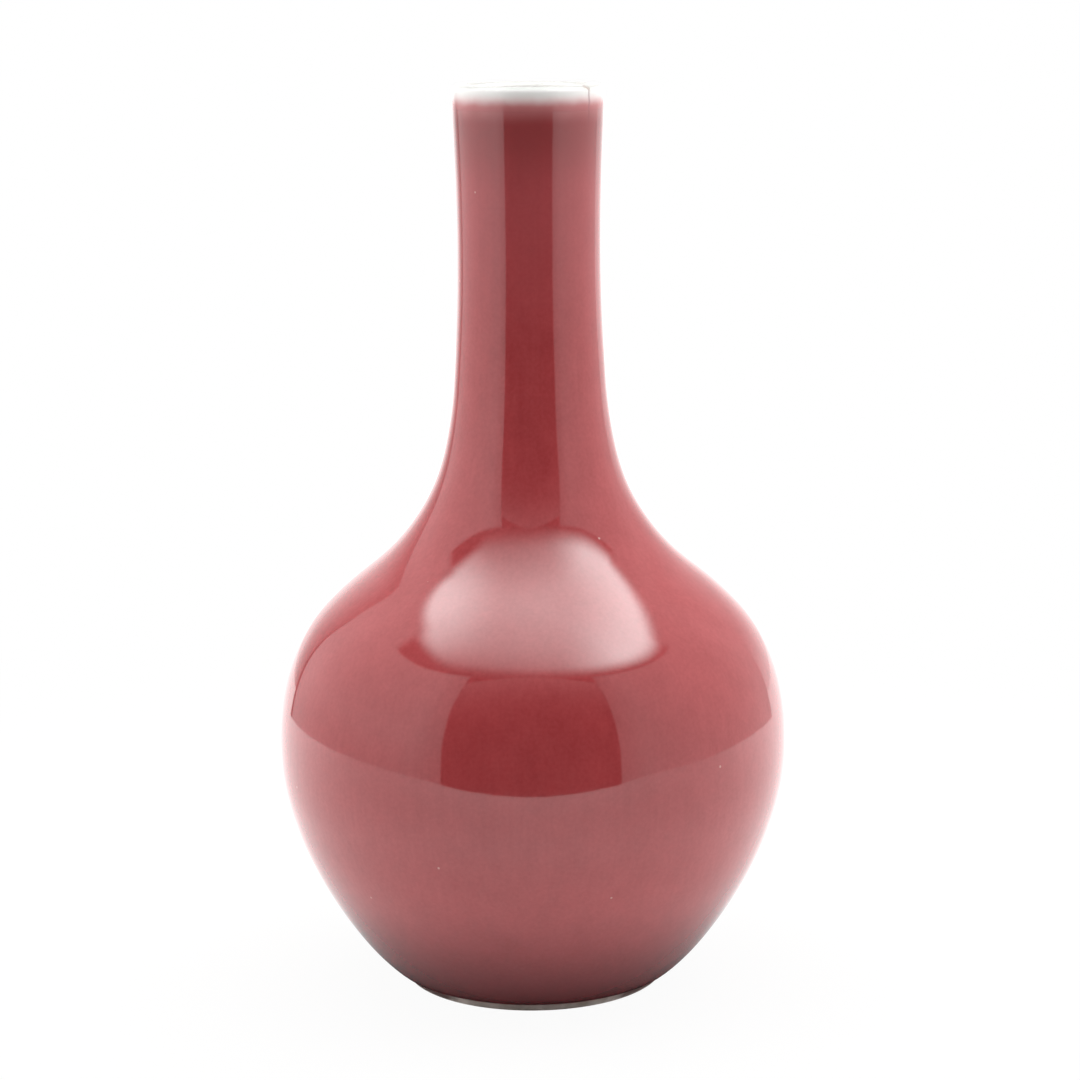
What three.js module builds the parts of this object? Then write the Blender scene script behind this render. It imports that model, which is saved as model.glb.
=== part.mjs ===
// Bottle vase in copper-red porcelain, made as a potter makes it: a foot ring, a lower bowl, a shoulder
// and a neck of white paste, luted together with slip, then glazed outside, over the lip, inside and below.
// Millimetres, +Z up, origin at the centre of the face that the foot stands on.
import * as THREE from 'three';

// Glazed outline
const height = 230;
const footRadius = 33.5; // outer edge of the resting face
const footBevelWidth = 2.0; // spread of the bare bevel, from the resting face to the red glaze
const footBevelHeight = 2.2;
const bellyRadius = 65.9;
const bellyHeight = 62.2;
const neckRootRadius = 30.95; // where the shoulder turns up into the neck
const neckRootHeight = 119.1;
const waistRadius = 18.05; // narrowest place of the neck
const waistDrop = 27; // from the top of the lip down to the waist
const mouthRadius = 19.0;

// Lean of the outline from the upright: outwards as it leaves the foot, inwards as it turns into the neck
const footLean = THREE.MathUtils.degToRad(82);
const neckRootLean = THREE.MathUtils.degToRad(34.9);

// Pull of each curve along the way that it leaves or meets a point, as a share of the curve's own rise
const footPull = 0.055;
const bellyPullBelow = 0.496;
const bellyPullAbove = 0.677;
const neckRootPullBelow = 0.352;
const neckRootPullAbove = 0.176;
const waistPullBelow = 0.772;
const waistPullAbove = 0.4;
const mouthPull = 0.365;

// Thicknesses
const outerCoat = 0.8; // red glaze, and the white dressing that meets it at the lip
const innerCoat = 0.5; // white glaze inside and under the base
const wallAtFoot = 6.0; // paste wall, which thins evenly from foot to lip
const wallAtLip = 2.6;
const lipRise = 0.8; // rounding of the paste at the lip, under its glaze
const floorThickness = 6.0;
const slipSeam = 0.8;

// Foot and glaze lines
const footWidth = 5.0; // width of the resting face
const footEdge = 0.6; // broken inner edge of the resting face
const footCollar = 2.5; // height of the foot ring above the lower edge of the red glaze
const rimBand = 4.2; // white dressing outside, below the rounding of the lip
const rimInside = 7.0; // white dressing inside, below the rounding of the lip
const baseGlazeRise = 2.2; // the base glaze stops this far above the resting face

const bond = 0.05; // gap between faces that the kiln fuses

// Fineness of the facets
const facets = 40; // around the axis
const outlineTurn = THREE.MathUtils.degToRad(12); // most turning of the outline in one step
const longestStep = 50;
const lipSteps = 6;

function leaning(angle) {
  return new THREE.Vector2(Math.sin(angle), Math.cos(angle));
}

// One curve of the outline, from where it has got to up to the next point
function curveTo(outline, end, leaveLean, leavePull, meetLean, meetPull) {
  const start = outline.currentPoint;
  const rise = end.y - start.y;
  const leave = leaning(leaveLean).multiplyScalar(leavePull * rise).add(start);
  const meet = leaning(meetLean).multiplyScalar(-meetPull * rise).add(end);
  outline.bezierCurveTo(leave.x, leave.y, meet.x, meet.y, end.x, end.y);
}

function at(radius, level) {
  return new THREE.Vector2(radius, level);
}

// Outline of the glazed outside as (radius, height), from the bevel of the foot to the rounding of the lip
function drawOutline() {
  const belly = at(bellyRadius, bellyHeight);
  const neckRoot = at(neckRootRadius, neckRootHeight);
  const waist = at(waistRadius, height - waistDrop);
  const mouth = at(mouthRadius, height - lipRise - outerCoat);
  const outline = new THREE.Path();
  outline.moveTo(footRadius + footBevelWidth, footBevelHeight);
  curveTo(outline, belly, footLean, footPull, 0, bellyPullBelow);
  curveTo(outline, neckRoot, 0, bellyPullAbove, -neckRootLean, neckRootPullBelow);
  curveTo(outline, waist, -neckRootLean, neckRootPullAbove, 0, waistPullBelow);
  curveTo(outline, mouth, 0, waistPullAbove, 0, mouthPull);
  return outline;
}

const outline = drawOutline();
const outlineLength = outline.getLength();

// Place in the wall's section: run is the way along the outline, depth the way in from the glazed outside.
// Past the end of the outline the wall runs straight on into the lip.
function wallPoint(run, depth) {
  const share = THREE.MathUtils.clamp(run / outlineLength, 0, 1);
  const along = outline.getTangent(share);
  const inward = new THREE.Vector2(-along.y, along.x);
  const beyond = run - share * outlineLength;
  return outline.getPoint(share).addScaledVector(along, beyond).addScaledVector(inward, depth);
}

function wallAt(run) {
  return THREE.MathUtils.lerp(wallAtFoot, wallAtLip, run / outlineLength);
}

// Depths of the wall's layers, from the outside in
const depths = {
  outside: () => 0,
  underOuterCoat: () => outerCoat - bond,
  pasteOutside: () => outerCoat,
  pasteInside: (run) => outerCoat + wallAt(run),
  underInnerCoat: (run) => outerCoat + wallAt(run) + bond,
  inside: (run) => outerCoat + wallAt(run) + innerCoat,
};

// Run at which a layer reaches a height, by halving
function runAtHeight(wanted, depth) {
  const halvings = 50;
  let low = 0;
  let high = outlineLength;
  for (let halving = 0; halving < halvings; halving++) {
    const middle = (low + high) / 2;
    if (wallPoint(middle, depth(middle)).y < wanted) low = middle;
    else high = middle;
  }
  return low;
}

// Heights and runs at which pieces end
const footTop = wallPoint(0, outerCoat).y + footCollar;
const bowlBottom = footTop + slipSeam;
const floorTop = bowlBottom + floorThickness;
const footInner = footRadius - footWidth;
const footTopRun = runAtHeight(footTop, depths.pasteOutside);
const bowlBottomRun = runAtHeight(bowlBottom, depths.pasteOutside);
const floorRun = runAtHeight(floorTop, depths.pasteInside);
const bellySeam = runAtHeight(bellyHeight, depths.outside);
const neckSeam = runAtHeight(neckRootHeight, depths.outside);
const redTop = outlineLength - rimBand;
const linerTop = outlineLength - rimInside;

// Runs that part one stretch of the outline into steps, shorter where it turns more
function stepsBetween(from, to) {
  const looks = 48;
  const effort = [0];
  for (let k = 1; k <= looks; k++) {
    const before = THREE.MathUtils.lerp(from, to, (k - 1) / looks);
    const after = THREE.MathUtils.lerp(from, to, k / looks);
    const wayBefore = outline.getTangent(before / outlineLength);
    const wayAfter = outline.getTangent(after / outlineLength);
    effort.push(effort[k - 1] + wayBefore.angleTo(wayAfter) / outlineTurn + (after - before) / longestStep);
  }
  const steps = Math.ceil(effort[looks]);
  const runs = [];
  let look = 0;
  for (let step = 1; step < steps; step++) {
    const wanted = (effort[looks] * step) / steps;
    while (effort[look + 1] < wanted) look++;
    const part = (wanted - effort[look]) / (effort[look + 1] - effort[look]);
    runs.push(THREE.MathUtils.lerp(from, to, (look + part) / looks));
  }
  return [...runs, to];
}

// Stations that every layer shares, so that the facets of neighbouring layers stay parallel
function layStations() {
  const ends = [0, footTopRun, bowlBottomRun, floorRun, redTop, linerTop, outlineLength];
  for (const seam of [bellySeam, neckSeam]) ends.push(seam - slipSeam / 2, seam + slipSeam / 2);
  ends.sort((a, b) => a - b);
  const stations = [ends[0]];
  for (let i = 1; i < ends.length; i++) stations.push(...stepsBetween(ends[i - 1], ends[i]));
  return stations;
}

const stations = layStations();

// Points of one layer from one run to another, up or down
function layer(from, to, depth) {
  const low = Math.min(from, to);
  const high = Math.max(from, to);
  const between = stations.filter((run) => run > low + bond && run < high - bond);
  const runs = [low, ...between, high];
  if (from > to) runs.reverse();
  return runs.map((run) => wallPoint(run, depth(run)));
}

// Rounding over the end of the wall, from one depth to another
function lipArc(fromDepth, toDepth, rise) {
  const middle = (fromDepth + toDepth) / 2;
  const half = (toDepth - fromDepth) / 2;
  const points = [];
  for (let step = 1; step < lipSteps; step++) {
    const turn = (Math.PI * step) / lipSteps;
    points.push(wallPoint(outlineLength + rise * Math.sin(turn), middle - half * Math.cos(turn)));
  }
  return points;
}

// Solids of revolution. A profile runs anticlockwise in (radius, height): a disc's from axis to axis,
// a ring's back to its first point.
function spinDisc(profile) {
  return new THREE.LatheGeometry(profile, facets);
}

function spinRing(profile) {
  return new THREE.LatheGeometry([...profile, profile[0]], facets);
}

// White paste
function footRing() {
  return spinRing([
    at(footInner + footEdge, 0),
    at(footRadius, 0),
    ...layer(0, footTopRun, depths.pasteOutside),
    at(footInner, footTop),
    at(footInner, footEdge),
  ]);
}

function lowerBowl() {
  const top = bellySeam - slipSeam / 2;
  return spinDisc([
    at(0, bowlBottom),
    ...layer(bowlBottomRun, top, depths.pasteOutside),
    ...layer(top, floorRun, depths.pasteInside),
    at(0, floorTop),
  ]);
}

function wallBand(from, to) {
  return spinRing([...layer(from, to, depths.pasteOutside), ...layer(to, from, depths.pasteInside)]);
}

function shoulder() {
  return wallBand(bellySeam + slipSeam / 2, neckSeam - slipSeam / 2);
}

function neck() {
  const bottom = neckSeam + slipSeam / 2;
  return spinRing([
    ...layer(bottom, outlineLength, depths.pasteOutside),
    ...lipArc(outerCoat, depths.pasteInside(outlineLength), lipRise),
    ...layer(outlineLength, bottom, depths.pasteInside),
  ]);
}

// Slip between the sections
function slipRing(seam) {
  return wallBand(seam - slipSeam / 2 + bond, seam + slipSeam / 2 - bond);
}

function footSlipRing() {
  return spinRing([
    at(footInner, footTop + bond),
    at(wallPoint(footTopRun, outerCoat).x, footTop + bond),
    at(wallPoint(bowlBottomRun, outerCoat).x, bowlBottom - bond),
    at(footInner, bowlBottom - bond),
  ]);
}

// Glazes
function redGlaze() {
  return spinRing([...layer(0, redTop, depths.outside), ...layer(redTop, 0, depths.underOuterCoat)]);
}

function rimGlaze() {
  const bottom = redTop + bond;
  const end = outlineLength;
  const over = lipArc(0, depths.inside(end), lipRise + outerCoat);
  const under = lipArc(depths.underOuterCoat(), depths.underInnerCoat(end), lipRise + bond);
  return spinRing([
    ...layer(bottom, end, depths.outside),
    ...over,
    ...layer(end, linerTop, depths.inside),
    ...layer(linerTop, end, depths.underInnerCoat),
    ...under.reverse(),
    ...layer(end, bottom, depths.underOuterCoat),
  ]);
}

function linerGlaze() {
  const top = linerTop - bond;
  const underFace = floorTop + bond;
  const upperFace = floorTop + innerCoat;
  return spinDisc([
    at(0, underFace),
    ...layer(runAtHeight(underFace, depths.underInnerCoat), top, depths.underInnerCoat),
    ...layer(top, runAtHeight(upperFace, depths.inside), depths.inside),
    at(0, upperFace),
  ]);
}

// Disc under the floor, with a skirt down the inner wall of the foot ring
function baseGlaze() {
  const ceiling = bowlBottom - bond;
  const outer = footInner - bond;
  return spinDisc([
    at(0, ceiling - innerCoat),
    at(outer - innerCoat, ceiling - innerCoat),
    at(outer - innerCoat, baseGlazeRise),
    at(outer, baseGlazeRise),
    at(outer, ceiling),
    at(0, ceiling),
  ]);
}

// Finishes
function finish(color, roughness) {
  return new THREE.MeshStandardMaterial({ color, roughness, metalness: 0 });
}

const biscuitFinish = () => finish(0xd9cbb8, 0.8);
const slipFinish = () => finish(0xe2d8c8, 0.85);
const redFinish = () => finish(0x93353a, 0.08);
const whiteFinish = () => finish(0xecebe6, 0.12);

function piece(name, geometry, material) {
  const mesh = new THREE.Mesh(geometry, material);
  mesh.name = name;
  return mesh;
}

const paste = new THREE.Group();
paste.add(
  piece('foot_ring', footRing(), biscuitFinish()),
  piece('lower_bowl', lowerBowl(), biscuitFinish()),
  piece('shoulder', shoulder(), biscuitFinish()),
  piece('neck', neck(), biscuitFinish()),
);

const seams = new THREE.Group();
seams.add(
  piece('foot_slip_seam', footSlipRing(), slipFinish()),
  piece('belly_slip_seam', slipRing(bellySeam), slipFinish()),
  piece('neck_slip_seam', slipRing(neckSeam), slipFinish()),
);

const glazes = new THREE.Group();
glazes.add(
  piece('red_glaze', redGlaze(), redFinish()),
  piece('rim_glaze', rimGlaze(), whiteFinish()),
  piece('liner_glaze', linerGlaze(), whiteFinish()),
  piece('base_glaze', baseGlaze(), whiteFinish()),
);

// The profiles stand along the lathe's own Y, so the vase is turned to stand along Z
const vase = new THREE.Group();
vase.add(paste, seams, glazes);
vase.rotation.x = Math.PI / 2;

export default vase;
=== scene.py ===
"""Bottle vase in copper-red porcelain: the looks, dressed on the CAD frame.

Each piece is revolved from the section of its CAD node, with flowing curves in place of the
facets, and gets the finish that clay, slip and glaze leave in the kiln. Metres, in the CAD
frame: +Z is up, the origin is under the foot, and the camera stands on the side of -Y.
"""

import math

import bmesh
import bpy
import numpy as np
from mathutils import Matrix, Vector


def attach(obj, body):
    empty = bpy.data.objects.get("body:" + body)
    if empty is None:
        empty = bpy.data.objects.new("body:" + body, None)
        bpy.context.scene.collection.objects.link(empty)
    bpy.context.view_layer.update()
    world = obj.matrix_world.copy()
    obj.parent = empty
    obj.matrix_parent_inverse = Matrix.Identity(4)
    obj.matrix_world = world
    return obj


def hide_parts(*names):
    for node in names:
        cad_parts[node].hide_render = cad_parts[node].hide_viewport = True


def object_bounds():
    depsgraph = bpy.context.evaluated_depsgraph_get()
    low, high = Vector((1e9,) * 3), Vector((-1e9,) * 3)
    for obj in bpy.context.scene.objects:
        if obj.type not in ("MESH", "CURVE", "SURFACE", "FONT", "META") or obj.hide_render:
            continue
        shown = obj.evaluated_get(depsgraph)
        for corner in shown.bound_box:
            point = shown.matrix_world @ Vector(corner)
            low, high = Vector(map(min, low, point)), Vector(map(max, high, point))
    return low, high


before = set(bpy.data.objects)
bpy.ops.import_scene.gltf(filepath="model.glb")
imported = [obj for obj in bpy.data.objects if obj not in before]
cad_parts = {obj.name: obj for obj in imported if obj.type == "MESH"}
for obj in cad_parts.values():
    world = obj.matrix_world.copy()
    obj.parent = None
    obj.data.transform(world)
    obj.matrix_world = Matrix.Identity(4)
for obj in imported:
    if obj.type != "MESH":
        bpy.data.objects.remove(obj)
cad_low, cad_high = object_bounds()
vase_height = cad_high.z

MM = 0.001
MICRON = 0.001 * MM

# Sockets of a mix node, by number because its numbers and its colours share their names
SHARE, FROM, TO, UNDER, OVER = 0, 2, 3, 6, 7

# Shapes
corner_turn = math.radians(36)  # a section turns more than this only at a corner
tight_turn = math.radians(15)  # a bend that a long straight beside it doesn't share
long_straight = 3  # a straight is long at this many times the length beside it
corner_round = 0.22 * MM  # glaze and sponged clay leave no sharp edge
corner_most = 0.25  # a rounding takes no more than this share of the step beside it
corner_hold = 2.5  # the line beside a rounding is held at this many times its length
corner_shares = (0.25, 0.5, 0.75)  # points along a rounding
fewest_steps = 4  # along any run between two corners
evening = 3.0 * MM  # the rib evens the lean of the wall over about this length
evening_share = 0.3  # and near an end over this share of the way to it
glaze_roll = 0.12 * MM  # the red glaze ran down and stands proud above the foot
glaze_roll_height = 9 * MM
glaze_roll_spread = 5 * MM
lip_joint_round = 0.01 * MM  # the red glaze and the lip's white one run into each other
lip_joint_zone = 1 * MM  # corners this close to the joint are part of it
lip_joint_gap = 0.045 * MM  # the red glaze runs up this far to close the joint
lip_joint_run = 0.5 * MM  # with its last stretch of this length
lip_rise = 0.85 * MM  # the lip stands this much higher than it was drawn
lip_rise_from = vase_height - 12 * MM
lip_rise_over = 10 * MM
lip_top = vase_height + lip_rise
chip_depth = 0.35 * MM  # nibble in the lip
chip_reach = 0.9 * MM
chip_inset = 0.8 * MM
chip_azimuth = math.radians(-38)

# What the wheel leaves: sways by size, waves around, phase and twist over the height, and rings
# by size, rise per radian and waves around; both fade close to the axis
sways = [(0.050 * MM, 2, 0.6, 2.3), (0.030 * MM, 3, 2.0, -3.1)]
wheel_rings = [(0.006 * MM, 2.3 * MM, 1), (0.010 * MM, 5.1 * MM, -2)]
steady_within = 10 * MM
wave_rate = 20  # radians of a wave texture in one unit of its space

# Glaze lines, as heights above the table
lip_joint = max(point.co.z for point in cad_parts["red_glaze"].data.vertices)
liner_top = max(point.co.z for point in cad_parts["liner_glaze"].data.vertices)
# The lip's top edge, greyed upward from the first height to the second with painted shade against
# the light from above
lip_top_shade_from = lip_top - 1.0 * MM
lip_top_shade_full = lip_top - 0.2 * MM
lip_white_from = vase_height - 4.4 * MM
lip_white_full = vase_height - 0.6 * MM
lip_pale_from = vase_height - 8.8 * MM
liver_deepest = vase_height - 10 * MM
liver_ends = vase_height - 26 * MM
thin_above = vase_height - 20 * MM
thick_below = vase_height - 75 * MM
# Darker red towards the foot, from the first height down to the second: pooled glaze and painted
# shade under the belly
pool_and_shade_from = 38 * MM
pool_and_shade_full = 6 * MM
hairline_full = vase_height - 2 * MM
hairline_ends = vase_height - 10 * MM
flash_from = 0.8 * MM
flash_full = 2.2 * MM
line_waver = 1.2 * MM  # the thin, liver, pale and white tones waver by this much

# Glaze lines, as distances from the axis
mouth_from = 17.4 * MM
mouth_full = 16.6 * MM
bevel_from = 33.2 * MM
bevel_full = 34 * MM

# Hairline below the chip in the lip, and stain around it
hairline_waver = 0.8 * MM
hairline_edge = 0.5 * MM
hairline_core = 0.1 * MM
stain_radius = 18.4 * MM
stain_height = lip_top - 0.5 * MM
stain_ends = 2.9 * MM
stain_full = 1.6 * MM
stain_ragged = 2.4 * MM

# Pinholes, sunk this many times as deep as the skin is uneven
pinhole_sink = 3.0

# Darker red-brown over the foot's bevel towards its two sides along X, as distances across from
# the axis
side_dark_from = 18 * MM
side_dark_full = 25 * MM
side_dark_ragged = 5 * MM

# Colours
deep_red = "#972b2e"
copper_red = "#b24447"
thin_red = "#a2484c"
# pooled glaze and painted shade near the foot
pooled_and_shaded_red = "#6a2226"
liver_red = "#863132"
pale_red = "#d89294"
lip_white = "#f2f0ee"
# painted shade on the lip's top edge
lip_top_shade_grey = "#b4b2ae"
mouth_white = "#e0dfd7"
pinhole_pink = "#d9a8a0"
crack_in_red = "#6e3038"
crack_in_white = "#8c5a62"
stain_brown = "#95857a"
liner_white = "#e6e5df"
base_white = "#e2e4e2"
warm_white = "#dad8cf"
iron_brown = "#6b5a48"
paste_grey = "#e8dcd5"
paste_white = "#f0e6e0"
grime_grey = "#bdb0a5"
flash_brown = "#b08880"
side_dark_red = "#5e3a38"
slip_grey = "#d6cab8"
slip_white = "#e6dccd"
paper_white = "#f0f0ee"
roof_white = "#f2ffff"
backdrop_white = "#ffffff"

# The vase's shade on the paper, as distances from its axis
shade_from = 0.034
deep_shade_ends = 0.085
half_shade_from = 0.07
shade_ends = 0.13
half_shade = 0.7  # share of light left in it
shade_blend = 0.2  # how softly the deep shade runs into it

# Light of the roof's cloth
roof_glow = 4.2
roof_left_glow = 6.5
roof_right_glow = 7.6
roof_frame_glow = 0.34

# The tent: its side walls' bends in plan, the gap at the left one's end, and the room around it
left_bends = [(-0.311, -0.4), (-0.534, -0.351), (-0.684, -0.149), (-0.628, 0.151), (-0.385, 0.345)]
right_bends = [(0.306, -0.415), (0.548, -0.388), (0.66, -0.174), (0.653, 0.122), (0.402, 0.33)]
gap_corners = [(-0.385, 0.345, 0), (-0.372, 0.358, 0), (-0.384, 0.346, 0.5), (-0.385, 0.345, 0.5)]
wall_step = 0.03
wall_top = 1.2
opening_middle = (0, -0.381)
opening_top = 0.58
room_top = 2.2
room_radius = 1.3
back_radius = 1.4
roof_place = (0.01, 0, 0.68)
roof_half = 0.7
floor_half = 4.0
sheet_lift = 0.2 * MM
dim_fill = 0.2  # light of the backdrop where it is neither seen nor mirrored

# Camera
camera_place = (0, -0.7295, 0.2619)
camera_pan = math.radians(-0.175)
camera_tilt = math.radians(90 - 11.39)
camera_roll = math.radians(-0.411)
sensor_width = 36  # this and the focal length in millimetres
focal_length = 96.56


# Sections


def section_of(node):
    """The node's cut through the axis, on the side of +X: (radius, height) points anticlockwise,
    and if it closes."""
    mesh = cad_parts[node].data
    touching = {}
    for edge in mesh.edges:
        ends = [mesh.vertices[k].co for k in edge.vertices]
        if any(abs(end.y) > MICRON or end.x < -MICRON for end in ends):
            continue
        a, b = [(round(end.x, 6), round(end.z, 6)) for end in ends]
        if a != b:
            touching.setdefault(a, set()).add(b)
            touching.setdefault(b, set()).add(a)
    tips = [point for point, others in touching.items() if len(others) == 1]
    walk = [min(tips or touching)]
    onward = touching[walk[0]]
    while onward:
        walk.append(max(onward))
        onward = touching[walk[-1]] - set(walk)
    points = np.array(walk)
    radius, level = points.T
    area = np.sum(radius * np.roll(level, -1) - level * np.roll(radius, -1))
    return (points if area > 0 else points[::-1]), not tips


def runs_of(points, closed):
    """The section parted at its corners into runs, each with its two corner points."""
    ways = np.roll(points, -1, axis=0) - points
    lean = np.arctan2(ways[:, 1], ways[:, 0])
    turn = np.angle(np.exp(1j * (lean - np.roll(lean, 1))))
    corners = [k for k in range(len(points)) if abs(turn[k]) > corner_turn]
    if closed:
        points = np.roll(points, -corners[0], axis=0)
        points = np.vstack([points, points[:1]])
        corners = [k - corners[0] for k in corners] + [len(points) - 1]
    else:
        corners = [0] + [k for k in corners if 0 < k < len(points) - 1] + [len(points) - 1]
    return [points[start : stop + 1] for start, stop in zip(corners, corners[1:])]


def held(points):
    """The points with one more on a long straight beside a tight bend, so that it stays straight
    up to the bend."""
    ways = np.diff(points, axis=0)
    lengths = np.hypot(*ways.T)
    lean = np.arctan2(ways[:, 1], ways[:, 0])
    turn = np.abs(np.angle(np.exp(1j * np.diff(lean))))
    kept = [points[0]]
    for k, (way, length) in enumerate(zip(ways, lengths)):
        if k > 0 and turn[k - 1] > tight_turn and length > long_straight * lengths[k - 1]:
            kept.append(points[k] + way * lengths[k - 1] / length)
        if k < len(turn) and turn[k] > tight_turn and length > long_straight * lengths[k + 1]:
            kept.append(points[k + 1] - way * lengths[k + 1] / length)
        kept.append(points[k + 1])
    return np.array(kept)


def flowing(points, step):
    """One smooth curve through the points, at even steps."""
    points = np.array(points, float)
    way = np.append(0, np.cumsum(np.linalg.norm(np.diff(points, axis=0), axis=1)))
    slope = np.gradient(points, way, axis=0, edge_order=2 if len(points) > 2 else 1)
    stations = np.linspace(0, way[-1], max(fewest_steps, math.ceil(way[-1] / step)) + 1)
    k = np.clip(np.searchsorted(way, stations, side="right") - 1, 0, len(way) - 2)
    span = (way[k + 1] - way[k])[:, None]
    t = (stations - way[k])[:, None] / span
    before = points[k] * (1 + 2 * t) * (1 - t) ** 2 + slope[k] * span * t * (1 - t) ** 2
    after = points[k + 1] * t**2 * (3 - 2 * t) - slope[k + 1] * span * t**2 * (1 - t)
    return before + after


def evened(line):
    """The line with its lean evened, less so near its ends, so that reflections flow along it
    without a break."""
    steps = np.diff(line, axis=0)
    lengths = np.hypot(*steps.T)
    lean = np.unwrap(np.arctan2(steps[:, 1], steps[:, 0]))
    middle = np.cumsum(lengths) - lengths / 2
    to_end = np.minimum(middle, middle[-1] + middle[0] - middle)
    reach = np.minimum(evening, evening_share * to_end)
    weights = np.exp(-0.5 * ((middle - middle[:, None]) / reach[:, None]) ** 2)
    lean = weights @ lean / weights.sum(axis=1)
    moves = lengths[:, None] * np.column_stack([np.cos(lean), np.sin(lean)])
    path = line[0] + np.vstack([[0, 0], np.cumsum(moves, axis=0)])
    return path + np.outer(np.linspace(0, 1, len(path)), line[-1] - path[-1])


def eased_end(line):
    """The line with its first stretch cut back for the rounding of a corner, and a point close by
    to hold it."""
    first = line[1] - line[0]
    way = first / np.linalg.norm(first)
    at_lip = abs(line[0, 1] - lip_joint) < lip_joint_zone
    reach = lip_joint_round if at_lip else corner_round
    reach = min(reach, np.linalg.norm(first) * corner_most)
    return np.vstack([line[0] + way * reach, line[0] + way * reach * corner_hold, line[1:]])


def rounded(runs, closed):
    """The runs joined into one section, with each corner between two of them rounded."""
    eased = []
    for k, line in enumerate(runs):
        if closed or k > 0:
            line = eased_end(line)
        if closed or k < len(runs) - 1:
            line = eased_end(line[::-1])[::-1]
        eased.append(line)
    section = []
    for k, line in enumerate(eased):
        section.append(line)
        if closed or k < len(runs) - 1:
            start, corner, stop = line[-1], runs[k][-1], eased[(k + 1) % len(runs)][0]
            for t in corner_shares:
                section.append([start * (1 - t) ** 2 + corner * 2 * t * (1 - t) + stop * t**2])
    return np.vstack(section)


# Pieces


def settled(points):
    """The points as wheel and kiln leave them: a little out of round, faintly ringed and drawn up
    at the lip."""
    x, y, z = points.T
    angle = np.arctan2(y, x)
    rise = z / vase_height
    off = np.zeros(len(points))
    for size, waves, phase, twist in sways:
        off += size * np.sin(waves * angle + phase + twist * rise)
    for size, radian, waves in wheel_rings:
        off += size * np.sin(z / radian + waves * angle)
    radius = np.hypot(x, y)
    grown = 1 + off * np.minimum(radius / steady_within, 1) / np.maximum(radius, MM)
    share = np.clip((z - lip_rise_from) / lip_rise_over, 0, 1)
    drawn_up = lip_rise * share**2 * (3 - 2 * share)
    return np.column_stack([x * grown, y * grown, z + drawn_up])


def run_down(points):
    """The red glaze with the roll that it gathers above the foot, and run up to the white one at
    the lip."""
    x, y, z = points.T
    roll = glaze_roll * np.exp(-(((z - glaze_roll_height) / glaze_roll_spread) ** 2))
    grown = 1 + roll / np.hypot(x, y)
    near_lip = np.clip((z - z.max()) / lip_joint_run + 1, 0, 1)
    return np.column_stack([x * grown, y * grown, z + lip_joint_gap * near_lip])


def nibbled(points):
    """The lip with a small chip in its outer edge."""
    radius = np.hypot(points[:, 0], points[:, 1]).max() - chip_inset
    spot = (radius * math.cos(chip_azimuth), radius * math.sin(chip_azimuth), lip_top)
    away = np.linalg.norm(points - spot, axis=1) / chip_reach
    sunk = points.copy()
    sunk[:, 2] -= chip_depth * np.exp(-(away**2))
    return sunk


def turned(node, step, sides, *changes):
    """The piece that stands for a CAD node: its section, made to flow, revolved and given its
    changes of shape."""
    points, closed = section_of(node)
    runs = [flowing(held(run), step) for run in runs_of(points, closed)]
    if node == "red_glaze":
        runs = [evened(run) for run in runs]
    section = rounded(runs, closed)
    if closed:
        section = np.vstack([section, section[:1]])
    angles = np.linspace(0, 2 * math.pi, sides + 1)
    radius, level = section[:, :1], section[:, 1:]
    spots = [radius * np.cos(angles), radius * np.sin(angles), level + 0 * angles]
    spots = np.stack(spots, axis=2).reshape(-1, 3)
    for change in (settled, *changes):
        spots = change(spots)

    row, column = np.mgrid[0 : len(section) - 1, 0:sides]
    down, left = row.ravel(), column.ravel()
    wide = sides + 1
    faces = np.column_stack([down * wide + left, down * wide + left + 1])
    faces = np.column_stack([faces, faces[:, 1] + wide, faces[:, 0] + wide])
    mesh = bpy.data.meshes.new(f"fired_{node}")
    mesh.from_pydata(spots.tolist(), [], faces.tolist())

    way = np.append(0, np.cumsum(np.linalg.norm(np.diff(section, axis=0), axis=1)))
    across = np.column_stack([left, left + 1, left + 1, left]) / sides
    along = np.column_stack([way[down], way[down], way[down + 1], way[down + 1]]) / way[-1]
    layer = mesh.uv_layers.new(name="OFBake")
    layer.uv.foreach_set("vector", np.stack([across, along], axis=2).ravel())

    shell = bmesh.new()
    shell.from_mesh(mesh)
    bmesh.ops.remove_doubles(shell, verts=shell.verts, dist=MICRON)
    shell.to_mesh(mesh)
    shell.free()
    mesh.shade_smooth()
    piece = bpy.data.objects.new(f"fired_{node}", mesh)
    bpy.context.scene.collection.objects.link(piece)
    return piece


# Finishes


def linear(code):
    """Linear colour of an sRGB hex value, with full alpha."""
    shares = [int(code[k : k + 2], 16) / 255 for k in (1, 3, 5)]
    return [s / 12.92 if s <= 0.04045 else ((s + 0.055) / 1.055) ** 2.4 for s in shares] + [1.0]


def add(tree, kind, inputs, **settings):
    """A node with its settings, and its inputs set to values or linked to sockets or to nodes'
    first outputs."""
    node = tree.nodes.new(kind)
    for name, value in settings.items():
        setattr(node, name, value)
    for key, value in inputs.items():
        if isinstance(value, bpy.types.Node):
            value = next(socket for socket in value.outputs if socket.enabled)
        if isinstance(value, bpy.types.NodeSocket):
            tree.links.new(value, node.inputs[key])
        else:
            node.inputs[key].default_value = value
    return node


def new_finish(name):
    """An empty material, its node tree and the place on the surface in metres."""
    finish = bpy.data.materials.new(name)
    finish.use_nodes = True
    tree = finish.node_tree
    tree.nodes.clear()
    return finish, tree, add(tree, "ShaderNodeTexCoord", {}).outputs["Object"]


def fired(tree, shader_inputs, relief, relief_depth):
    """Ends a finish with its shader, with a relief of the given depth."""
    bump = {"Height": relief, "Distance": relief_depth, "Strength": 1.0}
    bump = add(tree, "ShaderNodeBump", bump)
    shader = add(tree, "ShaderNodeBsdfPrincipled", {**shader_inputs, "Normal": bump})
    add(tree, "ShaderNodeOutputMaterial", {"Surface": shader})


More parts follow.
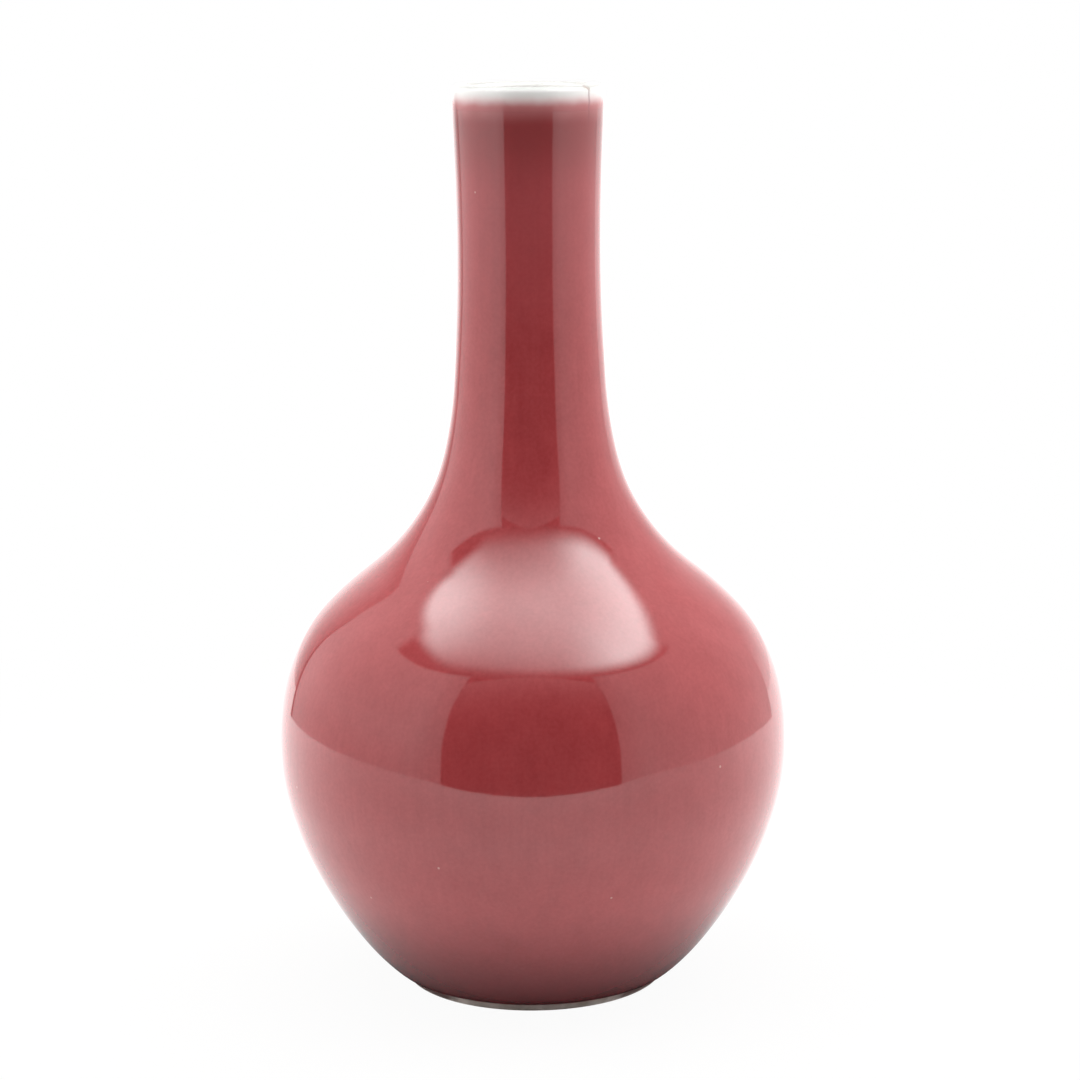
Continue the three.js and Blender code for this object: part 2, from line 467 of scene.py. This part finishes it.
def outside_colour(tree, place):
    """Copper red as it lies on the outside: mottled, drawn down in streaks, liver toned and then
    pale at the lip."""
    level = add(tree, "ShaderNodeSeparateXYZ", {0: place}).outputs["Z"]
    patches = {"Vector": place, "Scale": 1 / (40 * MM), "Detail": 2.0}
    patches = add(tree, "ShaderNodeTexNoise", patches)
    mottling = {"Vector": place, "Scale": 1 / (7 * MM), "Detail": 4.0}
    mottling = add(tree, "ShaderNodeTexNoise", mottling)
    grain = {"Vector": place, "Scale": 1 / (0.9 * MM), "Detail": 2.0}
    grain = add(tree, "ShaderNodeTexNoise", grain)
    drawn = (1 / (1.6 * MM), 1 / (1.6 * MM), 1 / (50 * MM))
    flow = add(tree, "ShaderNodeVectorMath", {0: place, 1: drawn}, operation="MULTIPLY")
    streaks = add(tree, "ShaderNodeTexNoise", {"Vector": flow, "Scale": 1.0, "Detail": 2.0})
    cloud = add(tree, "ShaderNodeMix", {SHARE: 0.45, FROM: patches, TO: mottling})
    cloud = add(tree, "ShaderNodeMix", {SHARE: 0.25, FROM: cloud, TO: streaks})
    cloud = add(tree, "ShaderNodeMix", {SHARE: 0.28, FROM: cloud, TO: grain})
    depth = add(tree, "ShaderNodeMapRange", {"Value": cloud, "From Min": 0.3, "From Max": 0.7})
    colour = {SHARE: depth, UNDER: linear(deep_red), OVER: linear(copper_red)}
    colour = add(tree, "ShaderNodeMix", colour, data_type="RGBA")

    waver = {"Vector": place, "Scale": 1 / (6 * MM), "Detail": 2.0}
    waver = add(tree, "ShaderNodeTexNoise", waver)
    waver = {0: waver, 1: line_waver, 2: -line_waver / 2}
    waver = add(tree, "ShaderNodeMath", waver, operation="MULTIPLY_ADD")
    line = add(tree, "ShaderNodeMath", {0: level, 1: waver}, operation="ADD")
    tones = [
        (line, thick_below, thin_above, 0.5, thin_red),
        # darker towards the foot: pooled glaze and painted shade under the belly
        (level, pool_and_shade_from, pool_and_shade_full, 0.8, pooled_and_shaded_red),
        (line, liver_ends, liver_deepest, 0.75, liver_red),
        (line, lip_pale_from, lip_white_full, 0.8, pale_red),
        (line, lip_white_from, lip_white_full, 1.0, lip_white),
    ]
    for height, start, full, most, tone in tones:
        share = {"Value": height, "From Min": start, "From Max": full, "To Max": most}
        share = add(tree, "ShaderNodeMapRange", share, interpolation_type="SMOOTHSTEP")
        colour = {SHARE: share, UNDER: colour, OVER: linear(tone)}
        colour = add(tree, "ShaderNodeMix", colour, data_type="RGBA")
    return colour, level, grain


def pinholes(tree, place):
    """Share of pinhole at each place: bubbles that burst in the kiln, 0.5 to 1 mm wide and a few
    centimetres apart."""
    bubbles = add(tree, "ShaderNodeTexVoronoi", {"Vector": place, "Scale": 1 / (12 * MM)})
    spread = {"Value": bubbles, "From Min": 0.035, "From Max": 0.015, "To Max": 0.6}
    return add(tree, "ShaderNodeMapRange", spread, interpolation_type="SMOOTHSTEP")


def hairline(tree, place, level):
    """Share of hairline crack at each place: a stained line down from the chip in the lip."""
    outward = {0: place, 1: (math.cos(chip_azimuth), math.sin(chip_azimuth), 0)}
    sideways = {0: place, 1: (-math.sin(chip_azimuth), math.cos(chip_azimuth), 0)}
    waver = add(tree, "ShaderNodeTexNoise", {"Vector": place, "Scale": 1 / (2.5 * MM)})
    waver = {0: waver, 1: hairline_waver, 2: -hairline_waver / 2}
    waver = add(tree, "ShaderNodeMath", waver, operation="MULTIPLY_ADD")
    aside = add(tree, "ShaderNodeVectorMath", sideways, operation="DOT_PRODUCT")
    aside = {0: aside.outputs["Value"], 1: waver}
    aside = add(tree, "ShaderNodeMath", aside, operation="ADD")
    aside = add(tree, "ShaderNodeMath", {0: aside}, operation="ABSOLUTE")
    thin = {"Value": aside, "From Min": hairline_edge, "From Max": hairline_core}
    thin = add(tree, "ShaderNodeMapRange", thin)
    facing = add(tree, "ShaderNodeVectorMath", outward, operation="DOT_PRODUCT")
    facing = {0: facing.outputs["Value"], 1: 0.0}
    facing = add(tree, "ShaderNodeMath", facing, operation="GREATER_THAN")
    near_lip = {"Value": level, "From Min": hairline_ends, "From Max": hairline_full}
    near_lip = add(tree, "ShaderNodeMapRange", {**near_lip, "To Max": 0.55})
    share = add(tree, "ShaderNodeMath", {0: thin, 1: facing}, operation="MULTIPLY")
    return add(tree, "ShaderNodeMath", {0: share, 1: near_lip}, operation="MULTIPLY")


def copper_red_glaze():
    """Copper-red glaze, dipped and fired in a smoky kiln: glassy, deep red, faintly mottled where
    the copper gathers, with pinholes and a skin that mirrors the room a little unevenly."""
    finish, tree, place = new_finish("copper_red_glaze")
    colour, level, grain = outside_colour(tree, place)
    pits = pinholes(tree, place)
    colour = {SHARE: pits, UNDER: colour, OVER: linear(pinhole_pink)}
    colour = add(tree, "ShaderNodeMix", colour, data_type="RGBA")
    crack = hairline(tree, place, level)
    colour = {SHARE: crack, UNDER: colour, OVER: linear(crack_in_red)}
    colour = add(tree, "ShaderNodeMix", colour, data_type="RGBA").outputs[2]
    rough = add(tree, "ShaderNodeMapRange", {"Value": grain, "To Min": 0.04, "To Max": 0.08})
    skin = {"Vector": place, "Scale": 1 / (5 * MM), "Detail": 1.0}
    skin = add(tree, "ShaderNodeTexNoise", skin)
    relief = {0: pits, 1: -pinhole_sink, 2: skin}
    relief = add(tree, "ShaderNodeMath", relief, operation="MULTIPLY_ADD")
    shine = {"Base Color": colour, "Roughness": rough, "IOR": 1.65}
    fired(tree, shine, relief, relief_depth=0.012 * MM)
    return finish


def white_lip_dressing():
    """White glaze dressed over the lip: milky, greyed on its top edge with painted shade against
    the light from above, with the red of the outside run up into it and the liner's grey white
    inside."""
    finish, tree, place = new_finish("white_lip_dressing")
    colour, level, grain = outside_colour(tree, place)
    flat = add(tree, "ShaderNodeVectorMath", {0: place, 1: (1, 1, 0)}, operation="MULTIPLY")
    radius = add(tree, "ShaderNodeVectorMath", {0: flat}, operation="LENGTH").outputs["Value"]
    inner = {"Value": radius, "From Min": mouth_from, "From Max": mouth_full}
    inner = add(tree, "ShaderNodeMapRange", inner, interpolation_type="SMOOTHSTEP")
    fade = {"Value": level, "From Min": liner_top, "From Max": lip_top_shade_from}
    fade = add(tree, "ShaderNodeMapRange", fade, interpolation_type="SMOOTHSTEP")
    inside = {SHARE: fade, UNDER: linear(mouth_white), OVER: linear(lip_white)}
    inside = add(tree, "ShaderNodeMix", inside, data_type="RGBA")
    colour = {SHARE: inner, UNDER: colour, OVER: inside}
    colour = add(tree, "ShaderNodeMix", colour, data_type="RGBA")
    # Painted shade: the lip's top edge greyed, as it takes the most light from above
    edge = {"Value": level, "From Min": lip_top_shade_from, "From Max": lip_top_shade_full}
    edge = add(tree, "ShaderNodeMapRange", edge, interpolation_type="SMOOTHSTEP")
    colour = {SHARE: edge, UNDER: colour, OVER: linear(lip_top_shade_grey)}
    colour = add(tree, "ShaderNodeMix", colour, data_type="RGBA")
    crack = hairline(tree, place, level)
    colour = {SHARE: crack, UNDER: colour, OVER: linear(crack_in_white)}
    colour = add(tree, "ShaderNodeMix", colour, data_type="RGBA")
    spot = (stain_radius * math.cos(chip_azimuth), stain_radius * math.sin(chip_azimuth))
    away = {0: place, 1: (*spot, stain_height)}
    away = add(tree, "ShaderNodeVectorMath", away, operation="DISTANCE").outputs["Value"]
    ragged = {"Vector": place, "Scale": 1 / (0.9 * MM), "Detail": 2.0}
    ragged = add(tree, "ShaderNodeTexNoise", ragged)
    away = {0: ragged, 1: stain_ragged, 2: away}
    away = add(tree, "ShaderNodeMath", away, operation="MULTIPLY_ADD")
    stain = {"Value": away, "From Min": stain_ends, "From Max": stain_full, "To Max": 0.75}
    stain = add(tree, "ShaderNodeMapRange", stain, interpolation_type="SMOOTHSTEP")
    colour = {SHARE: stain, UNDER: colour, OVER: linear(stain_brown)}
    colour = add(tree, "ShaderNodeMix", colour, data_type="RGBA").outputs[2]
    rough = {"Value": level, "From Min": lip_white_from, "From Max": lip_white_full}
    rough = add(tree, "ShaderNodeMapRange", {**rough, "To Min": 0.06, "To Max": 0.2})
    rough = add(tree, "ShaderNodeMath", {0: grain, 1: 0.04, 2: rough}, operation="MULTIPLY_ADD")
    skin = {"Vector": place, "Scale": 1 / (4 * MM), "Detail": 1.0}
    skin = add(tree, "ShaderNodeTexNoise", skin)
    shine = {"Base Color": colour, "Roughness": rough, "IOR": 1.52}
    fired(tree, shine, skin, relief_depth=0.012 * MM)
    return finish


def white_glaze(name, white, ring_radian):
    """Clear glaze over white paste: glossy, grey white, with iron specks and the rings of the
    wheel under it, by their rise per radian."""
    finish, tree, place = new_finish(name)
    tint = {"Vector": place, "Scale": 1 / (14 * MM), "Detail": 3.0}
    tint = add(tree, "ShaderNodeTexNoise", tint)
    tint = add(tree, "ShaderNodeMapRange", {"Value": tint, "From Min": 0.35, "From Max": 0.65})
    colour = {SHARE: tint, UNDER: linear(white), OVER: linear(warm_white)}
    colour = add(tree, "ShaderNodeMix", colour, data_type="RGBA")
    specks = add(tree, "ShaderNodeTexVoronoi", {"Vector": place, "Scale": 1 / (6 * MM)})
    specks = {"Value": specks, "From Min": 0.05, "From Max": 0.02, "To Max": 0.7}
    specks = add(tree, "ShaderNodeMapRange", specks)
    colour = {SHARE: specks, UNDER: colour, OVER: linear(iron_brown)}
    colour = add(tree, "ShaderNodeMix", colour, data_type="RGBA").outputs[2]
    rings = {"Vector": place, "Scale": 1 / (wave_rate * ring_radian)}
    rings = {**rings, "Distortion": 1.5, "Detail": 1.0}
    rings = add(tree, "ShaderNodeTexWave", rings, bands_direction="Z")
    rough = add(tree, "ShaderNodeMapRange", {"Value": tint, "To Min": 0.08, "To Max": 0.16})
    shine = {"Base Color": colour, "Roughness": rough, "IOR": 1.52}
    fired(tree, shine, rings, relief_depth=0.05 * MM)
    return finish


def biscuit_porcelain():
    """Bare porcelain paste, sponged and fired without glaze: matt and sandy, grey white, with a
    brown flash of iron beside the glaze, grime in the pores, and darker red-brown over the foot's
    bevel towards its two sides along X."""
    finish, tree, place = new_finish("biscuit_porcelain")
    sand = {"Vector": place, "Scale": 1 / (0.5 * MM), "Detail": 4.0}
    sand = add(tree, "ShaderNodeTexNoise", sand)
    grime = {"Vector": place, "Scale": 1 / (6 * MM), "Detail": 3.0}
    grime = add(tree, "ShaderNodeTexNoise", grime)
    grime = add(tree, "ShaderNodeMapRange", {"Value": grime, "From Min": 0.4, "From Max": 0.75})
    colour = {SHARE: sand, UNDER: linear(paste_grey), OVER: linear(paste_white)}
    colour = add(tree, "ShaderNodeMix", colour, data_type="RGBA")
    colour = {SHARE: grime, UNDER: colour, OVER: linear(grime_grey)}
    colour = add(tree, "ShaderNodeMix", colour, data_type="RGBA")
    across, _, level = add(tree, "ShaderNodeSeparateXYZ", {0: place}).outputs
    flash = {"Value": level, "From Min": flash_from, "From Max": flash_full, "To Max": 0.2}
    flash = add(tree, "ShaderNodeMapRange", flash, interpolation_type="SMOOTHSTEP")
    colour = {SHARE: flash, UNDER: colour, OVER: linear(flash_brown)}
    colour = add(tree, "ShaderNodeMix", colour, data_type="RGBA")
    flat = add(tree, "ShaderNodeVectorMath", {0: place, 1: (1, 1, 0)}, operation="MULTIPLY")
    radius = add(tree, "ShaderNodeVectorMath", {0: flat}, operation="LENGTH").outputs["Value"]
    outside = {"Value": radius, "From Min": bevel_from, "From Max": bevel_full}
    outside = add(tree, "ShaderNodeMapRange", outside)
    # darker red-brown over the foot's bevel towards its two sides along X
    aside = add(tree, "ShaderNodeMath", {0: across}, operation="ABSOLUTE")
    aside = {0: grime, 1: side_dark_ragged, 2: aside}
    aside = add(tree, "ShaderNodeMath", aside, operation="MULTIPLY_ADD")
    side_dark = {"Value": aside, "From Min": side_dark_from, "From Max": side_dark_full, "To Max": 0.85}
    side_dark = add(tree, "ShaderNodeMapRange", side_dark, interpolation_type="SMOOTHSTEP")
    side_dark = add(tree, "ShaderNodeMath", {0: side_dark, 1: outside}, operation="MULTIPLY")
    colour = {SHARE: side_dark, UNDER: colour, OVER: linear(side_dark_red)}
    colour = add(tree, "ShaderNodeMix", colour, data_type="RGBA").outputs[2]
    rough = add(tree, "ShaderNodeMapRange", {"Value": sand, "To Min": 0.65, "To Max": 0.9})
    shine = {"Base Color": colour, "Roughness": rough, "IOR": 1.5}
    fired(tree, shine, sand, relief_depth=0.08 * MM)
    return finish


def luting_slip():
    """Slip that joins the thrown sections: fine wet clay brushed on, so smoother and whiter than
    the paste."""
    finish, tree, place = new_finish("luting_slip")
    brushed = {"Vector": place, "Scale": 1 / (1.5 * MM), "Detail": 3.0}
    brushed = add(tree, "ShaderNodeTexNoise", brushed)
    colour = {SHARE: brushed, UNDER: linear(slip_grey), OVER: linear(slip_white)}
    colour = add(tree, "ShaderNodeMix", colour, data_type="RGBA").outputs[2]
    rough = add(tree, "ShaderNodeMapRange", {"Value": brushed, "To Min": 0.75, "To Max": 0.95})
    shine = {"Base Color": colour, "Roughness": rough, "IOR": 1.5}
    fired(tree, shine, brushed, relief_depth=0.06 * MM)
    return finish


# Studio


def staged(name, points, faces, material):
    """A mesh that belongs to the studio."""
    mesh = bpy.data.meshes.new(name)
    mesh.from_pydata([tuple(map(float, point)) for point in points], [], faces)
    mesh.materials.append(material)
    thing = bpy.data.objects.new(name, mesh)
    bpy.context.scene.collection.objects.link(thing)
    return thing


def sheet(name, half, level, material):
    """A level square of the studio, by half its side."""
    corners = [(-half, -half, level), (half, -half, level), (half, half, level)]
    return staged(name, corners + [(-half, half, level)], [(0, 1, 2, 3)], material)


def curtain(name, plan, top, material):
    """An upright cloth from the floor to its top, along a plan line."""
    low = [(x, y, 0) for x, y in plan]
    high = [(x, y, top) for x, y in plan]
    count = len(low)
    faces = [(k, k + 1, count + k + 1, count + k) for k in range(count - 1)]
    return staged(name, low + high, faces, material)


def cloth(name, strength, at_floor, rise, start=0.0):
    """Cloth lit to one strength up to a start and to another from a rise up, both heights above
    the floor."""
    material, tree, place = new_finish(name)
    level = add(tree, "ShaderNodeSeparateXYZ", {0: place}).outputs["Z"]
    glow = {"Value": level, "From Min": start, "From Max": rise}
    glow = {**glow, "To Min": at_floor, "To Max": strength}
    glow = add(tree, "ShaderNodeMapRange", glow, interpolation_type="SMOOTHSTEP")
    glow = add(tree, "ShaderNodeEmission", {"Strength": glow})
    add(tree, "ShaderNodeOutputMaterial", {"Surface": glow})
    return material


def wall_cloth(name, strength, at_floor):
    """Cloth of a side wall, lit a little differently near the floor and weaker towards its two
    upright edges."""
    material, tree, place = new_finish(name)
    across, _, level = add(tree, "ShaderNodeSeparateXYZ", {0: place}).outputs
    glow = {"Value": level, "From Max": 0.2, "To Min": at_floor, "To Max": strength}
    glow = add(tree, "ShaderNodeMapRange", glow, interpolation_type="SMOOTHSTEP")
    aside = add(tree, "ShaderNodeMath", {0: across}, operation="ABSOLUTE")
    edge = {"Value": aside, "From Min": 0.3, "From Max": 0.5, "To Min": 0.74}
    edge = add(tree, "ShaderNodeMapRange", edge, interpolation_type="SMOOTHSTEP")
    glow = add(tree, "ShaderNodeMath", {0: glow, 1: edge}, operation="MULTIPLY")
    glow = add(tree, "ShaderNodeEmission", {"Strength": glow})
    add(tree, "ShaderNodeOutputMaterial", {"Surface": glow})
    return material


def roof_cloth():
    """The roof's cloth: lit from behind, most at its two ends, fading to its front, in a dark
    frame that is open at the back."""
    material, tree, place = new_finish("roof_cloth")
    across, along, _ = add(tree, "ShaderNodeSeparateXYZ", {0: place}).outputs
    back = {"Value": along, "From Min": -0.25, "From Max": 0.01}
    back = {**back, "To Min": roof_glow, "To Max": roof_left_glow}
    back = add(tree, "ShaderNodeMapRange", back, interpolation_type="SMOOTHSTEP")
    left_end = {"Value": across, "From Min": -0.1, "From Max": -0.32}
    left_end = {**left_end, "To Min": roof_glow, "To Max": back}
    left_end = add(tree, "ShaderNodeMapRange", left_end, interpolation_type="SMOOTHSTEP")
    right_end = {"Value": across, "From Min": 0.08, "From Max": 0.4}
    right_end = {**right_end, "To Min": roof_glow, "To Max": roof_right_glow}
    right_end = add(tree, "ShaderNodeMapRange", right_end, interpolation_type="SMOOTHSTEP")
    ends = add(tree, "ShaderNodeMath", {0: left_end, 1: right_end}, operation="MAXIMUM")
    slant = {0: across, 1: 0.36, 2: along}
    slant = add(tree, "ShaderNodeMath", slant, operation="MULTIPLY_ADD")
    front = add(tree, "ShaderNodeMapRange", {"Value": slant, "From Min": -0.59, "From Max": -0.03})
    left = {"Value": across, "From Min": -0.49, "From Max": -0.37}
    left = add(tree, "ShaderNodeMapRange", left, interpolation_type="SMOOTHSTEP")
    right = {0: along, 1: 0.57, 2: across}
    right = add(tree, "ShaderNodeMath", right, operation="MULTIPLY_ADD")
    right = {"Value": right, "From Min": 0.685, "From Max": 0.42}
    right = add(tree, "ShaderNodeMapRange", right, interpolation_type="SMOOTHSTEP")
    oval = add(tree, "ShaderNodeVectorMath", {0: place, 1: (0.79, 1, 1)}, operation="MULTIPLY")
    away = add(tree, "ShaderNodeVectorMath", {0: oval}, operation="LENGTH").outputs["Value"]
    lit = {"Value": away, "From Min": 0.475, "From Max": 0.33}
    lit = add(tree, "ShaderNodeMapRange", lit, interpolation_type="SMOOTHSTEP")
    cloth_share = add(tree, "ShaderNodeMath", {0: left, 1: right}, operation="MULTIPLY")
    cloth_share = add(tree, "ShaderNodeMath", {0: cloth_share, 1: lit}, operation="MULTIPLY")
    glow = add(tree, "ShaderNodeMath", {0: front, 1: cloth_share}, operation="MULTIPLY")
    glow = add(tree, "ShaderNodeMix", {SHARE: glow, FROM: roof_frame_glow, TO: ends})
    within = {"Value": away, "From Min": 0.49, "From Max": 0.46}
    within = add(tree, "ShaderNodeMapRange", within, interpolation_type="SMOOTHSTEP")
    not_behind = {"Value": along, "From Min": 0.1, "From Max": 0.02}
    not_behind = add(tree, "ShaderNodeMapRange", not_behind, interpolation_type="SMOOTHSTEP")
    share = add(tree, "ShaderNodeMath", {0: cloth_share, 1: not_behind}, operation="MAXIMUM")
    share = add(tree, "ShaderNodeMath", {0: share, 1: within}, operation="MULTIPLY")
    light = add(tree, "ShaderNodeEmission", {"Color": linear(roof_white), "Strength": glow})
    clear = add(tree, "ShaderNodeBsdfTransparent", {})
    surface = add(tree, "ShaderNodeMixShader", {0: share, 1: clear, 2: light})
    add(tree, "ShaderNodeOutputMaterial", {"Surface": surface})
    return material


def back_cloth():
    """The cloth behind: dark in the left corner, brightest beside it, weaker to the right, lit by
    the paper below."""
    material, tree, place = new_finish("back_cloth")
    across, _, level = add(tree, "ShaderNodeSeparateXYZ", {0: place}).outputs
    dark_to = {"Value": level, "From Max": 0.32, "To Min": -0.76, "To Max": -0.41}
    dark_to = add(tree, "ShaderNodeMapRange", dark_to)
    corner = {"Value": across, "From Min": -0.955, "From Max": dark_to, "To Min": 0.39}
    corner = add(tree, "ShaderNodeMapRange", corner)
    fall = {"Value": across, "From Min": -0.41, "From Max": 0.78, "To Min": 1.58, "To Max": 0.95}
    fall = add(tree, "ShaderNodeMapRange", fall)
    right = {"Value": across, "From Min": -0.1, "From Max": 0.4, "To Max": 0.65}
    right = add(tree, "ShaderNodeMapRange", right)
    bounce = {"Value": level, "From Min": -0.05, "From Max": 0.5, "To Min": right, "To Max": 0.0}
    bounce = add(tree, "ShaderNodeMapRange", bounce, interpolation_type="SMOOTHSTEP")
    strength = {0: corner, 1: fall, 2: bounce}
    strength = add(tree, "ShaderNodeMath", strength, operation="MULTIPLY_ADD")
    light = add(tree, "ShaderNodeEmission", {"Strength": strength})
    add(tree, "ShaderNodeOutputMaterial", {"Surface": light})
    return material


def shade(tree, place):
    """Share of light on the paper, which the vase's foot takes away close by, and the distance
    from the vase's axis."""
    away = add(tree, "ShaderNodeVectorMath", {0: place}, operation="LENGTH").outputs["Value"]
    deep = {"Value": away, "From Min": shade_from, "From Max": deep_shade_ends}
    deep = add(tree, "ShaderNodeMapRange", deep)
    faint = {"Value": away, "From Min": half_shade_from, "From Max": shade_ends}
    faint = add(tree, "ShaderNodeMapRange", {**faint, "To Min": half_shade})
    shaded = {0: deep, 1: faint, 2: shade_blend}
    return add(tree, "ShaderNodeMath", shaded, operation="SMOOTH_MIN"), away


def floor_paper():
    """White paper, plain white to the eye but for the vase's shadow close by, which the glaze
    mirrors deeper."""
    material, tree, place = new_finish("floor_paper")
    paper = add(tree, "ShaderNodeBsdfDiffuse", {"Color": linear(paper_white)})
    shaded, away = shade(tree, place)
    path = add(tree, "ShaderNodeLightPath", {}).outputs
    level = {0: shaded, 1: path["Is Camera Ray"]}
    level = add(tree, "ShaderNodeMath", level, operation="MAXIMUM")
    white = add(tree, "ShaderNodeEmission", {"Strength": level})
    mirrored = {0: path["Is Glossy Ray"], 1: path["Is Transmission Ray"]}
    mirrored = add(tree, "ShaderNodeMath", mirrored, operation="ADD")
    shown = {"Value": away, "From Min": 0.05, "From Max": 0.4, "To Min": 0.95}
    shown = add(tree, "ShaderNodeMapRange", shown, interpolation_type="SMOOTHSTEP")
    shown = {0: shown, 1: path["Is Camera Ray"]}
    shown = add(tree, "ShaderNodeMath", shown, operation="MULTIPLY")
    share = add(tree, "ShaderNodeMath", {0: shown, 1: mirrored}, operation="ADD")
    surface = add(tree, "ShaderNodeMixShader", {0: share, 1: paper, 2: white})
    add(tree, "ShaderNodeOutputMaterial", {"Surface": surface})
    return material


def bounce_sheet():
    """Clear sheet on the paper that adds the lamps' bounce to what the glaze mirrors: stronger
    behind the vase."""
    material, tree, place = new_finish("bounce_sheet")
    along = add(tree, "ShaderNodeSeparateXYZ", {0: place}).outputs["Y"]
    shaded, away = shade(tree, place)
    front = {"Value": away, "From Min": 0.2, "From Max": 0.4, "To Min": 0.36, "To Max": 0.52}
    front = add(tree, "ShaderNodeMapRange", front)
    bounce = {"Value": along, "From Min": -0.2, "From Max": 0.22, "To Min": front, "To Max": 1.1}
    bounce = add(tree, "ShaderNodeMapRange", bounce, interpolation_type="SMOOTHSTEP")
    bounce = add(tree, "ShaderNodeMath", {0: bounce, 1: shaded}, operation="MULTIPLY")
    glow = add(tree, "ShaderNodeEmission", {"Strength": bounce})
    clear = add(tree, "ShaderNodeBsdfTransparent", {})
    surface = add(tree, "ShaderNodeAddShader", {0: clear, 1: glow})
    add(tree, "ShaderNodeOutputMaterial", {"Surface": surface})
    return material


def soft_lamp(name, size, radiance, place, tilt):
    """An evenly lit cloth that faces down, or in from the side when tilted; it lights but isn't
    mirrored."""
    light = bpy.data.lights.new(name, "AREA")
    light.shape = "RECTANGLE"
    light.size, light.size_y = size
    light.energy = radiance * math.pi * light.size * light.size_y
    lamp = bpy.data.objects.new(name, light)
    lamp.location = place
    lamp.rotation_euler.y = math.radians(tilt)
    lamp.visible_glossy = False
    lamp.visible_camera = False
    bpy.context.scene.collection.objects.link(lamp)


def arc(radius, start, stop, count):
    """Plan points around the vase, from one angle to another in degrees; the front is at 0."""
    angles = np.radians(np.linspace(start, stop, count))
    return np.column_stack([np.sin(angles), -np.cos(angles)]) * radius


def build_studio():
    """A tent of white cloth, open to a dark room in front, on white paper."""
    sheet("floor", floor_half, 0, floor_paper())
    bounce = sheet("bounce_sheet", floor_half, sheet_lift, bounce_sheet())
    left_plan = flowing(left_bends, wall_step)
    left_cloth = wall_cloth("left_cloth", strength=1.38, at_floor=1.1)
    left = curtain("left_wall", left_plan, wall_top, left_cloth)
    right_plan = flowing(right_bends, wall_step)
    right_cloth = wall_cloth("right_cloth", strength=1.12, at_floor=1.16)
    right = curtain("right_wall", right_plan, wall_top, right_cloth)
    roof = sheet("roof", roof_half, 0, roof_cloth())
    roof.location = roof_place
    opening_plan = [left_plan[0], opening_middle, right_plan[0]]
    dusk = cloth("dusk_cloth", strength=0.85, at_floor=0.13, rise=0.8, start=0.22)
    opening = curtain("front_opening", opening_plan, opening_top, dusk)
    dark = cloth("dark_cloth", strength=0.2, at_floor=0.05, rise=1.5)
    room_plan = arc(room_radius, start=-115, stop=115, count=47)
    room = curtain("dark_room", room_plan, room_top, dark)
    dim = cloth("gap_cloth", strength=0.6, at_floor=0.2, rise=0.4, start=0.1)
    gap = staged("left_gap", gap_corners, [(0, 1, 2, 3)], dim)
    back_plan = arc(back_radius, start=115, stop=245, count=27)
    back = curtain("back", back_plan, room_top, back_cloth())
    for screen in (bounce, left, right, roof, opening, room, gap, back):
        screen.visible_camera = False
        screen.visible_diffuse = False
        screen.visible_shadow = False

    side = (0.75, 0.74)
    soft_lamp("roof_lamp", size=(0.94, 0.8), radiance=2.9, place=(0.06, 0.14, 0.67), tilt=0)
    soft_lamp("left_lamp", size=side, radiance=1.9, place=(-0.62, 0.12, 0.38), tilt=-90)
    soft_lamp("right_lamp", size=side, radiance=1.95, place=(0.62, 0.12, 0.38), tilt=90)

    world = bpy.data.worlds.new("white_backdrop")
    bpy.context.scene.world = world
    world.use_nodes = True
    tree = world.node_tree
    tree.nodes.clear()
    path = add(tree, "ShaderNodeLightPath", {}).outputs
    mirrored = {0: path["Is Glossy Ray"], 1: path["Is Transmission Ray"]}
    mirrored = add(tree, "ShaderNodeMath", mirrored, operation="ADD")
    seen = {0: mirrored, 1: path["Is Camera Ray"]}
    seen = add(tree, "ShaderNodeMath", seen, operation="ADD")
    level = add(tree, "ShaderNodeMapRange", {"Value": seen, "To Min": dim_fill, "To Max": 1.0})
    backdrop = {"Color": linear(backdrop_white), "Strength": level}
    backdrop = add(tree, "ShaderNodeBackground", backdrop)
    add(tree, "ShaderNodeOutputWorld", {"Surface": backdrop})


def place_camera():
    """The photograph's view: eye a little above the lip, looking down at the body."""
    lens = bpy.data.cameras.new("photo_lens")
    lens.sensor_width = sensor_width
    lens.lens = focal_length
    camera = bpy.data.objects.new("photo_camera", lens)
    bpy.context.scene.collection.objects.link(camera)
    pan = Matrix.Rotation(camera_pan, 4, "Z")
    tilt = Matrix.Rotation(camera_tilt, 4, "X")
    roll = Matrix.Rotation(camera_roll, 4, "Z")
    camera.matrix_world = Matrix.Translation(camera_place) @ pan @ tilt @ roll
    bpy.context.scene.camera = camera


# Each CAD node with its finish, the step along its section, its sides and its changes of shape
biscuit = biscuit_porcelain()
slip = luting_slip()
liner = white_glaze("white_liner_glaze", liner_white, ring_radian=4 * MM)
base = white_glaze("white_base_glaze", base_white, ring_radian=3 * MM)
pieces = [
    ("foot_ring", biscuit, 0.8 * MM, 192),
    ("lower_bowl", biscuit, 4 * MM, 96),
    ("shoulder", biscuit, 4 * MM, 96),
    ("neck", biscuit, 4 * MM, 96),
    ("foot_slip_seam", slip, 1 * MM, 96),
    ("belly_slip_seam", slip, 1 * MM, 96),
    ("neck_slip_seam", slip, 1 * MM, 96),
    ("red_glaze", copper_red_glaze(), 1.6 * MM, 256, run_down),
    ("rim_glaze", white_lip_dressing(), 0.35 * MM, 256, nibbled),
    ("liner_glaze", liner, 2.5 * MM, 128),
    ("base_glaze", base, 0.8 * MM, 128),
]
for node, finish, *shape in pieces:
    piece = turned(node, *shape)
    piece.data.materials.append(finish)
    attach(piece, "root")
    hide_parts(node)

build_studio()
place_camera()
bpy.context.scene.view_settings.view_transform = "Standard"
